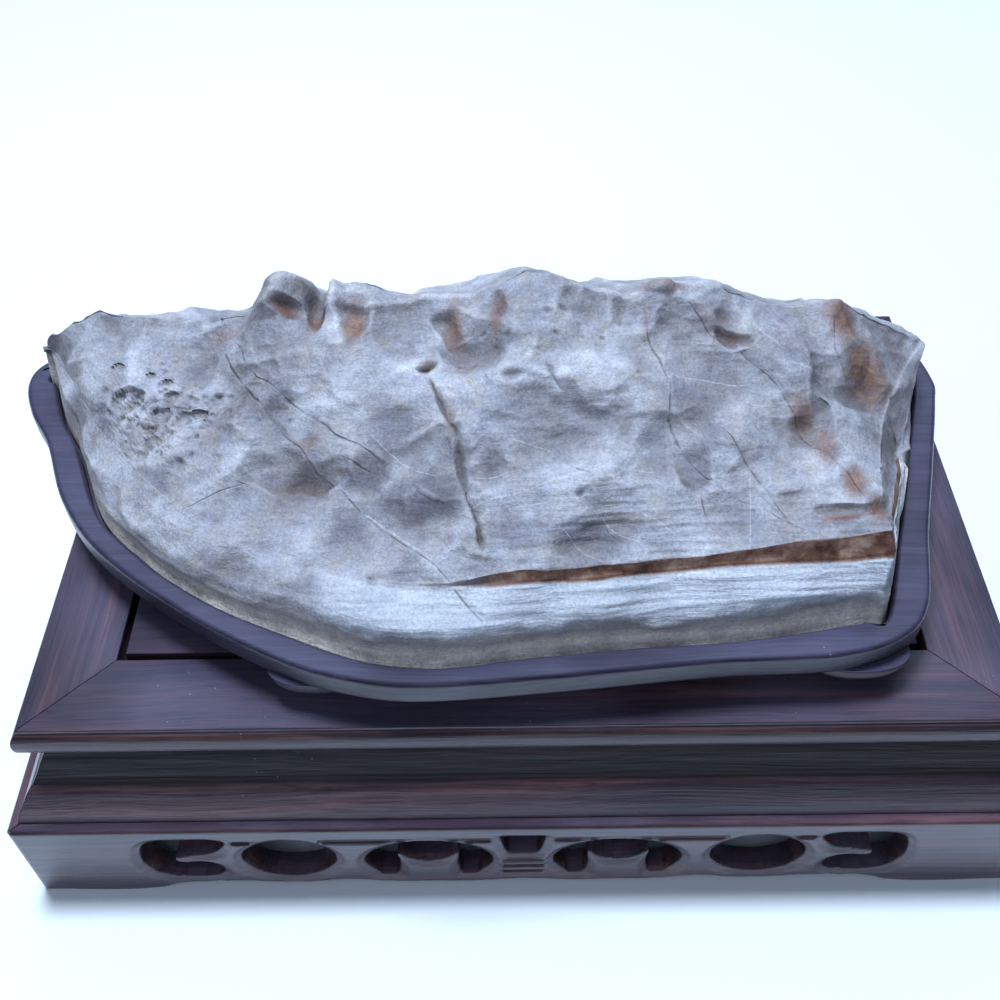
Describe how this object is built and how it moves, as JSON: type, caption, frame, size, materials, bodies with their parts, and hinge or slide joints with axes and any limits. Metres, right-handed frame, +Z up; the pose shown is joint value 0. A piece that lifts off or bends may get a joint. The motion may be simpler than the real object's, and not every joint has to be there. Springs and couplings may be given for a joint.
{
  "type": "scholars rock on stand",
  "caption": "Long ridged natural stone resting in a fitted wooden seat, on a low rectangular display stand with an openwork apron and corner feet.",
  "frame": {"origin": "middle of the whole piece's bounding box, on the surface that the stand's feet stand on", "axes": "+X along the stand to the right, +Y to the back, +Z up"},
  "size_m": [0.311, 0.195, 0.1547],
  "materials": {
    "stone": "weathered matt limestone, bluish grey, with rust in its hollows and cracks",
    "seat_wood": "dark stained hardwood with a satin wax finish",
    "stand_wood": "dark purple-brown hardwood with fine straight grain and a satin lacquer"
  },
  "bodies": {
    "root": {"stone": "stone", "fitted_seat": "seat_wood", "top_panel": "stand_wood", "top_rail_front": "stand_wood", "top_rail_back": "stand_wood", "top_rail_left": "stand_wood", "top_rail_right": "stand_wood", "waist_front": "stand_wood", "waist_back": "stand_wood", "waist_left": "stand_wood", "waist_right": "stand_wood", "apron_front": "stand_wood", "apron_back": "stand_wood", "apron_left": "stand_wood", "apron_right": "stand_wood"}
  },
  "joints": []
}
